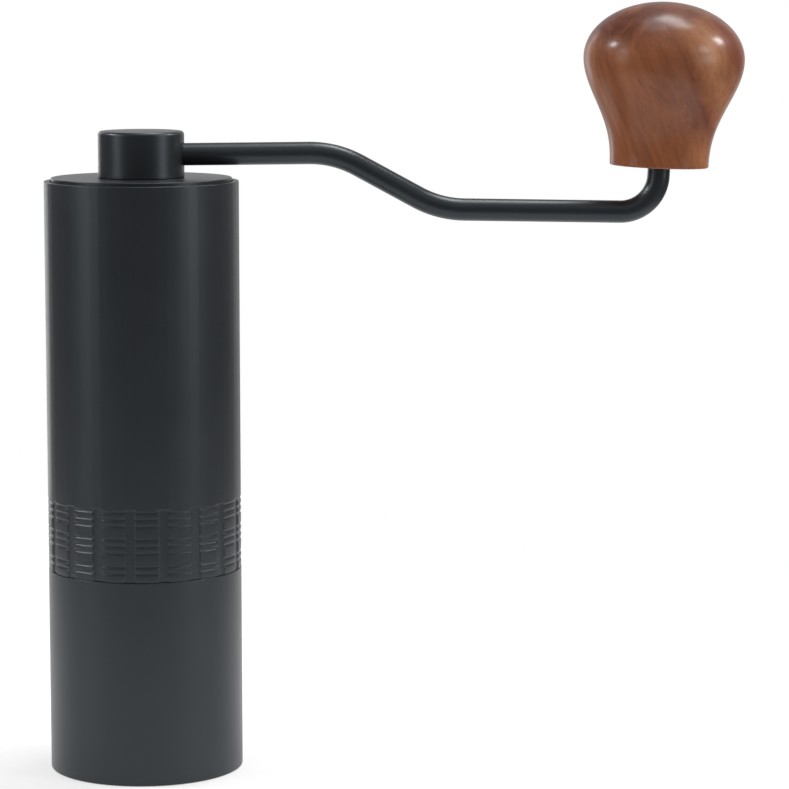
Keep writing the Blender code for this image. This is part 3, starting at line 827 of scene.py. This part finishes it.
def make_bearing(place, cage_body):
    """The two races with their grooves, the crown cage and the balls."""
    low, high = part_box(place + "_bearing_outer_race")
    middle = (low.z + high.z) / 2
    outer_land_r, inner_land_r, bore_r = 0.0070, 0.0054, 0.00405
    pitch_r, ball_r, balls = 0.0062, 0.00105, 7
    half_cage, cage_low, cage_high = 0.0004, middle - 0.0002, middle + 0.0014
    edge = 0.0002

    def raceway(radius, side):
        """The balls' groove, which cuts outward and runs upward where side is 1, or inward and down."""
        depth, half_width = 0.000275, 0.000715
        angles = [side * math.radians(a) for a in (-80, -50, -20, 0, 20, 50, 80)]
        return [(radius + side * depth * math.cos(a), middle + half_width * math.sin(a)) for a in angles]

    outer = outline(
        (high.x, high.z, edge),
        (high.x, low.z, edge),
        (outer_land_r, low.z, edge),
        *raceway(outer_land_r, 1),
        (outer_land_r, high.z, edge),
    )
    inner = outline(
        (inner_land_r, high.z, edge),
        *raceway(inner_land_r, -1),
        (inner_land_r, low.z, edge),
        (bore_r, low.z, edge),
        (bore_r, high.z, edge),
    )
    cage = ring_outline(pitch_r + half_cage, pitch_r - half_cage, cage_low, cage_high, 0.0001)
    for name, profile, slot, body, node in (
        ("_outer_race", outer, "steel", "barrel", "_bearing_outer_race"),
        ("_inner_race", inner, "steel", "drive_shaft", "_bearing_inner_race"),
        ("_cage", cage, "brass", cage_body, "_bearing_ball_cage"),
    ):
        piece(place + name, lathe(profile), slot, body, place + node)
    shape = bmesh.new()
    for angle in even_angles(balls):
        ball = bmesh.ops.create_uvsphere(shape, u_segments=20, v_segments=12, radius=ball_r)
        bmesh.ops.translate(shape, verts=ball["verts"], vec=polar(pitch_r, angle, middle))
    piece(place + "_balls", finished(shape), "steel", cage_body)


def clip(node, name, inner_r, body, opening, lug, size=None, inward=False):
    """A retaining ring with an opening at the front, in degrees, and a drilled lug at each end. size,
    where given, is its outer radius and its lower and upper heights, which are its node's otherwise."""
    low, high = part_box(node)
    outer_r, low_z, high_z = size or (high.x, low.z, high.z)
    front = math.radians(-90)
    half = math.radians(opening / 2)
    around = 2 * math.pi - 2 * half
    lug_length, lug_root = lug * 1.8, lug * 0.5
    steps = 90
    rings = []
    for i in range(steps + 1):
        share = i / steps
        angle = front + half + around * share
        from_end = min(share, 1 - share) * around * outer_r
        grow = lug * smooth_step((lug_length - from_end) / lug_root)
        inner = inner_r - (grow if inward else 0)
        outer = outer_r + (0 if inward else grow)
        corners = ((inner, high_z), (outer, high_z), (outer, low_z), (inner, low_z))
        rings.append([polar(radius, angle, height) for radius, height in corners])
    mesh = skinned(rings)
    hole_r, from_lug_end, past = lug * 0.42, lug * 0.85, 0.001
    middle_r = (inner_r + outer_r) / 2 + (-lug if inward else lug) / 2
    for side in (-1, 1):
        angle = front + side * (half + from_lug_end / middle_r)
        hole = prism(hole_r, 20, low_z - past, high_z + past)
        hole = placed(hole, Matrix.Translation(polar(middle_r, angle)))
        mesh = cut(mesh, hole)
    return piece(name, mesh, "spring_steel", body, node, sharp=30)


# ---- burrs ----
BURR_BOTTOM_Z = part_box("outer_burr")[0].z
BURR_THROAT_Z = 0.0660  # where the finishing teeth end and the coarse blades begin
BURR_SLOPE = 0.375  # radius lost per metre of height along the finishing teeth
OUTER_BURR_EXIT_R = 0.0193
OUTER_BURR_MOUTH_R = 0.0174
INNER_BURR_TOP_R = 0.0083
BURR_CLEARANCE = 0.0007
SPRING_SEAT_Z = 0.0660
FINE_TEETH = 48
BLADES = 6


def finishing_radius(z):
    return OUTER_BURR_EXIT_R - BURR_SLOPE * (z - BURR_BOTTOM_Z)


def helix(height):
    """How far the teeth have turned at this height: steeper towards the throat."""
    toothed_height, even_turn, growing_turn = 0.0143, 0.30, 0.55
    rise = (height - BURR_BOTTOM_Z) / toothed_height
    return even_turn * rise + growing_turn * rise * abs(rise)


def tooth(angle, count):
    """A saw tooth: 0 at the cutting edge, then down to 1 and sharply up again."""
    back = 0.82
    share = (angle * count / (2 * math.pi)) % 1.0
    return share / back if share < back else (1 - share) / (1 - back)


def outer_burr_shape(radius, angle, height):
    fine, coarse = 0.00045, 0.0012
    fine_end, coarse_start = 0.003, 0.006  # above the throat
    above = height - BURR_THROAT_Z
    fine *= tooth(angle, FINE_TEETH) * (1 - smooth_step(above / fine_end))
    coarse *= tooth(angle, BLADES) * smooth_step(above / coarse_start)
    return radius + fine + coarse


def inner_burr_shape(radius, angle, height):
    below_teeth, core_r, deepest = 0.0002, 0.0074, 0.0042
    if height < BURR_BOTTOM_Z - below_teeth:
        return radius
    change_start, change = 0.0015, 0.005  # below the throat, and how long
    fine, coarse = 0.0005, min(deepest, max(0.0, radius - core_r))
    share = smooth_step((height - BURR_THROAT_Z + change_start) / change)
    fine *= tooth(-angle, FINE_TEETH) * (1 - share)
    coarse *= tooth(-angle, BLADES) * share
    return radius - fine - coarse


def burr_rows(high_z, low_z, radius, count):
    """Rows down a burr's toothed face, between the two heights."""
    heights = [high_z + (low_z - high_z) * i / count for i in range(count + 1)]
    return [(radius(height), height) for height in heights]


def burr_face(top_z, top_r, clearance):
    """A burr's radius at a height: the finishing teeth, then a straight cone up to its top."""

    def radius(height):
        if height <= BURR_THROAT_Z:
            return finishing_radius(height) - clearance
        rise = (height - BURR_THROAT_Z) / (top_z - BURR_THROAT_Z)
        start = finishing_radius(BURR_THROAT_Z) - clearance
        return start + (top_r - start) * rise

    return radius


def make_burrs():
    around = FINE_TEETH * 6
    past = 0.0004  # how far a cutting tool runs past a face
    low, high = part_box("outer_burr")
    edge = 0.0003
    plug = outline((0, high.z), (high.x, high.z, edge), (high.x, low.z, edge), (0, low.z), closed=False)
    inside = burr_face(high.z, OUTER_BURR_MOUTH_R, 0.0)
    rows = burr_rows(high.z + past, low.z - past, inside, 36)
    rows = [(0, high.z + past), *rows, (0, low.z - past)]
    teeth = lathe(rows, around, outer_burr_shape, helix)
    mesh = cut(lathe(plug, 144), teeth)
    piece("burr_outer", mesh, "steel", "barrel", "outer_burr", sharp=28)
    washer("burr_retaining_ring", "burr_clamp_ring", 0.0196, "steel", "barrel", edge)

    low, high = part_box("inner_burr")
    outside = burr_face(high.z, INNER_BURR_TOP_R, BURR_CLEARANCE)
    base_r = outside(BURR_BOTTOM_Z)
    rows = [(0, high.z), *burr_rows(high.z, BURR_BOTTOM_Z, outside, 48)]
    base_top_z, base_edge = BURR_BOTTOM_Z - 0.0003, 0.0004
    rows += outline((base_r, base_top_z), (base_r, low.z, base_edge), (0, low.z), closed=False)
    mesh = lathe(rows, around, inner_burr_shape, lambda z: helix(max(z, BURR_BOTTOM_Z)))
    bore_r, half_flats, seat_r, overlap = 0.0043, 0.0034, 0.0063, 0.0001
    shaft_bore = prism(bore_r, 72, low.z - past, SPRING_SEAT_Z + overlap, flat=half_flats)
    spring_bore = prism(seat_r, 72, SPRING_SEAT_Z, high.z + past)
    mesh = cut(mesh, shaft_bore, spring_bore)
    piece("burr_inner", mesh, "steel", "inner_burr", "inner_burr", sharp=28)


def make_click_plate():
    """The plate under the inner burr, with a ring of shallow dimples for the detent balls."""
    low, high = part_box("click_plate")
    bore_r, edge = 0.0046, 0.0001
    dimples, circle_r, ball_r, ball_z = 24, 0.0090, 0.0007, low.z - 0.0004
    mesh = lathe(ring_outline(high.x, bore_r, low.z, high.z, edge), 120)
    for angle in even_angles(dimples):
        place = Matrix.Translation(polar(circle_r, angle, ball_z))
        shape = bmesh.new()
        bmesh.ops.create_icosphere(shape, subdivisions=2, radius=ball_r)
        mesh = cut(mesh, placed(finished(shape), place))
    piece("detent_plate", mesh, "steel", "inner_burr", "click_plate", sharp=30)


# ---- adjustment dial ----
def make_detent(number):
    """A detent's ball and spring in the dial. Returns their pocket, as a Boolean's tool."""
    node = f"detent_ball_{number}"
    low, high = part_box(node)
    centre = (low + high) / 2
    shape = bmesh.new()
    bmesh.ops.create_uvsphere(shape, u_segments=32, v_segments=20, radius=(high.z - low.z) / 2)
    ball = placed(finished(shape), Matrix.Translation(centre))
    piece(f"click_ball_{number}", ball, "steel", "adjustment_dial", node)

    node = f"detent_spring_{number}"
    low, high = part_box(node)
    wire_r, coil_r, turns = 0.0002, 0.0009, 3
    route = coil(centre.x, coil_r, low.z + wire_r, high.z - wire_r, turns, 20)
    mesh = tube(route, wire_r, 10)
    piece(f"click_spring_{number}", mesh, "spring_steel", "adjustment_dial", node, sharp=60)
    pocket_r, pocket_z, above_dial = 0.0015, 0.0511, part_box("adjustment_dial")[1].z + 0.001
    return placed(prism(pocket_r, 32, pocket_z, above_dial), Matrix.Translation((centre.x, 0, 0)))


def make_dial():
    low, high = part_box("adjustment_dial")
    lobes = 12

    def scalloped(radius, angle, height):
        rim_r, depth, half_notch, side = 0.0125, 0.0009, 0.0016, 0.0012
        if radius < rim_r:
            return radius
        share = (angle * lobes / (2 * math.pi)) % 1.0
        from_notch = abs(share - 0.5) * 2 * math.pi * high.x / lobes
        return radius - depth * smooth_step((half_notch - from_notch) / side)

    bore_r, boss_r, recess_r, foot_r, recess = 0.0032, 0.0062, 0.0096, 0.0100, 0.0006
    broad, fillet, soft = 0.0004, 0.0003, 0.0002
    profile = outline(
        (high.x, high.z, broad),
        (high.x, low.z, broad),
        (foot_r, low.z, soft),
        (recess_r, low.z + recess, soft),
        (boss_r, low.z + recess, fillet),
        (boss_r, low.z, fillet),
        (bore_r, low.z, fillet),
        (bore_r, high.z, fillet),
    )
    mesh = lathe(profile, 240, scalloped)

    tick_r, tick, long_tick, tick_width, tick_depth = 0.0117, 0.0019, 0.0028, 0.0004, 0.0006
    shape = bmesh.new()
    for i in range(lobes):
        turn = Matrix.Rotation(2 * math.pi * i / lobes, 4, "Z")
        size = Matrix.Diagonal((tick if i else long_tick, tick_width, tick_depth, 1.0))
        cube = bmesh.ops.create_cube(shape, size=1.0)
        place = turn @ Matrix.Translation((tick_r, 0, low.z)) @ size
        bmesh.ops.transform(shape, matrix=place, verts=cube["verts"])
    mesh = cut(mesh, finished(shape))
    for number in (1, 2):
        mesh = cut(mesh, make_detent(number))
    piece("grind_dial", mesh, "black_anodised", "adjustment_dial", "adjustment_dial", sharp=30)


def coil(centre_x, radius, low_z, high_z, turns, points_per_turn, dead_turns=0.0):
    """A coil spring's route. dead_turns at each end lie flat, as on a closed end."""
    route = []
    count = turns * points_per_turn
    for i in range(count + 1):
        turned = turns * i / count
        share = (turned - dead_turns) / (turns - 2 * dead_turns)
        share = max(0.0, min(1.0, share))
        angle = 2 * math.pi * turned
        height = low_z + (high_z - low_z) * share
        route.append(Vector((centre_x + radius * math.cos(angle), radius * math.sin(angle), height)))
    return route


# ---- drive shaft ----
def make_shaft():
    """From the top: hex for the hub, round journal with two circlip grooves, flats, and thread."""
    low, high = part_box("drive_shaft")
    radius, hex_half_flats, half_flats, thread_r = 0.0040, 0.0034, 0.0031, 0.0029
    hex_z, flat_z, thread_z = 0.1470, 0.0768, 0.0575
    groove, thread_pitch, thread_depth = 0.0003, 0.0008, 0.00035
    top_r, top_chamfer, end_chamfer = 0.0030, 0.0010, 0.0004
    rows = [(0, high.z), (top_r, high.z), (radius, high.z - top_chamfer)]
    rows += [(radius, hex_z + 0.0008), (radius, hex_z)]
    for node in ("upper_shaft_circlip", "lower_shaft_circlip"):
        clip_low, clip_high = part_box(node)
        rows += [(radius, clip_high.z), (radius - groove, clip_high.z)]
        rows += [(radius - groove, clip_low.z), (radius, clip_low.z)]
    flats_r = radius - 0.00005
    rows += [(radius, flat_z + 0.0001), (flats_r, flat_z), (flats_r, thread_z), (thread_r, thread_z)]
    count = 110
    length = thread_z - low.z - end_chamfer
    rows += [(thread_r, thread_z - length * i / count) for i in range(1, count + 1)]
    rows += [(thread_r - end_chamfer, low.z), (0, low.z)]

    def shaft_shape(r, angle, height):
        if height > hex_z and r > thread_r:
            side = (angle + math.pi / 6) % (math.pi / 3) - math.pi / 6
            return min(r, hex_half_flats / math.cos(side))
        if thread_z <= height <= flat_z and r > thread_r:
            return min(r, half_flats / max(0.01, abs(math.sin(angle))))
        if height < thread_z and r > thread_r - end_chamfer:
            along = (height / thread_pitch - angle / (2 * math.pi)) % 1.0
            return r - thread_depth * abs(along * 2 - 1)
        return r

    mesh = lathe(rows, 120, shaft_shape)
    piece("grinder_shaft", mesh, "steel", "drive_shaft", "drive_shaft", sharp=28)
    for node, name, inner_r, opening in (
        ("lower_shaft_circlip", "lower_circlip", 0.0041, 50),
        ("upper_shaft_circlip", "upper_circlip", 0.0041, 50),
        ("dial_retaining_clip", "dial_clip", 0.0030, 70),
    ):
        clip(node, name, inner_r, "drive_shaft", opening, 0.0007)
    washer("spring_washer", "preload_washer", 0.0043, "steel", "drive_shaft", 0.00012)

    low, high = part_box("burr_spring")
    wire_r, coil_r, turns, dead_turns = 0.0005, 0.0052, 6, 0.9
    route = coil(0, coil_r, low.z + wire_r, high.z - wire_r, turns, 40, dead_turns)
    mesh = tube(route, wire_r, 14)
    spring = piece("burr_coil_spring", mesh, "spring_steel", None, "burr_spring", sharp=60)
    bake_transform(spring)


def make_small_pieces():
    clip("hub_circlip", "crank_circlip", 0.0064, "crank", 50, 0.0008)
    clip("bracket_snap_ring", "hopper_snap_ring", 0.0222, "barrel", 16, 0.0013, inward=True)
    washer("cup_seal_ring", "cup_gasket", 0.0234, "silicone", "cup_seal", 0.00035, 128)

    outer_r, inner_r = KNOB_BORE_R - 0.00005, ROD_R + 0.0001
    profile = ring_outline(outer_r, inner_r, 0.0008, CLIP_HEIGHT - GAP, 0.0003)
    sleeve = placed(lathe(profile), KNOB_PLACE)
    piece("knob_bearing_sleeve", sleeve, "brass", "knob", "knob_sleeve")
    size = (0.0043, CLIP_HEIGHT, CLIP_HEIGHT + 0.0008)
    knob_clip = clip("knob_retaining_clip", "knob_clip", 0.0024, "crank", 60, 0.0007, size)
    knob_clip.matrix_world = KNOB_PLACE


# ---- stage ----
def make_stage():
    """A round pale table top, which glows a little, as a white sweep under strong light does."""
    radius, thickness, below_cup, albedo, glow = 0.34, 0.004, 0.0001, 0.45, 0.56
    profile = [(0, 0), (radius, 0), (radius, -thickness), (0, -thickness)]
    mesh = lathe(profile, 128)
    table = new_object("table_top", mesh)
    table.location.z = CUP_LOW.z - below_cup
    look = Look(
        "pale_table", (albedo,) * 3, 0.8,
        Specular_IOR_Level=0.2, Emission_Color=(1, 1, 1, 1), Emission_Strength=glow,
    )
    tone = look.noise(look.place, 30.0, 3.0)
    look.to("Roughness", look.range(tone, 0.3, 0.7, 0.76, 0.84))
    mesh.materials.append(look.material)


def make_world():
    """White to the camera. To everything else it is a studio, whose walls grow brighter from the
    camera's end of the room to the backdrop."""
    walls, back_rise, backdrop_rise = 0.19, 0.05, 0.48
    white = (1, 1, 1, 1)
    world = bpy.context.scene.world = bpy.data.worlds.new("studio")
    world.use_nodes = True
    tree = world.node_tree
    tree.nodes.clear()
    place = add_node(tree, "TexCoord").outputs["Generated"]
    depth = add_node(tree, "SeparateXYZ", {"Vector": place}).outputs["Y"]

    def rise(start, end, low, high):
        """A smooth rise between two depths of the room."""
        inputs = {"Value": depth, "From Min": start, "From Max": end, "To Min": low, "To Max": high}
        return add_node(tree, "MapRange", inputs, interpolation_type="SMOOTHSTEP").outputs["Result"]

    back = rise(0.0, 0.9, walls, walls + back_rise)
    backdrop = rise(0.7, 1.0, 0.0, backdrop_rise)
    strength = add_node(tree, "Math", {0: back, 1: backdrop}).outputs[0]
    studio = add_node(tree, "Background", {"Color": white, "Strength": strength}).outputs[0]
    seen = add_node(tree, "Background", {"Color": white}).outputs[0]
    to_camera = add_node(tree, "LightPath").outputs["Is Camera Ray"]
    both = add_node(tree, "MixShader", {"Fac": to_camera, 1: studio, 2: seen}).outputs[0]
    add_node(tree, "OutputWorld", {"Surface": both})


LIGHTS = (  # name, azimuth, elevation, distance, width, height and power
    ("top_softbox", 128, 71, 1.1, 0.54, 0.26, 5.2),
    ("top_wide", 165, 86, 1.1, 0.40, 0.60, 2.2),
    ("front_fill", 0, 55, 1.1, 1.3, 0.9, 1.4),
    ("left_box", -64, 23, 1.1, 0.26, 0.24, 1.2),
    ("left_low_box", -64, 5, 1.1, 0.34, 0.34, 1.0),
    ("left_lamp", -91, 35, 1.0, 0.16, 0.16, 3.4),
    ("right_box", 63, 27, 1.1, 0.24, 0.24, 1.7),
    ("right_low_box", 63, 7, 1.1, 0.34, 0.34, 1.6),
    ("right_lamp", 98, 34, 1.0, 0.16, 0.16, 3.2),
    ("left_rim", -150, 8, 1.1, 0.25, 0.8, 1.3),
    ("right_rim", 150, 10, 1.1, 0.25, 1.0, 0.22),
)


def make_lights():
    """Area lights aimed at the grinder. Azimuths run from the camera's side towards +X."""
    aim = Vector((0.04, 0, 0.12))
    for name, azimuth, elevation, distance, width, height, power in LIGHTS:
        data = bpy.data.lights.new(name, "AREA")
        data.shape = "RECTANGLE"
        data.size, data.size_y, data.energy = width, height, power
        lamp = new_object(name, data)
        azimuth, elevation = math.radians(azimuth), math.radians(elevation)
        flat = math.cos(elevation)
        offset = Vector((flat * math.sin(azimuth), -flat * math.cos(azimuth), math.sin(elevation)))
        lamp.location = aim + offset * distance
        lamp.rotation_euler = offset.to_track_quat("Z", "Y").to_euler()


def make_camera():
    data = bpy.data.cameras.new("camera")
    data.sensor_width = 36.0
    data.lens = 146.61
    data.clip_start = 0.05
    camera = new_object("camera", data)
    camera.location = (0.0676, -0.8584, 0.2156)
    camera.rotation_euler = (math.radians(82.44), 0, 0)
    bpy.context.scene.camera = camera


make_camera()
make_barrel()
make_cup()
make_lid()
make_hub()
make_arm()
make_knob()
make_bracket("upper_bracket", "hopper_bracket", (0.1408, 0.1448), (0.1403, 0.1453), 0.1404)
make_bracket("lower_bracket", "burr_bracket", (0.0768, 0.0835), (0.0763, 0.0840), 0.0773)
make_bearing("upper", "upper_ball_cage")
make_bearing("lower", "lower_ball_cage")
make_burrs()
make_click_plate()
make_dial()
make_shaft()
make_small_pieces()
make_stage()
make_world()
make_lights()

bpy.context.scene.view_settings.view_transform = "Standard"
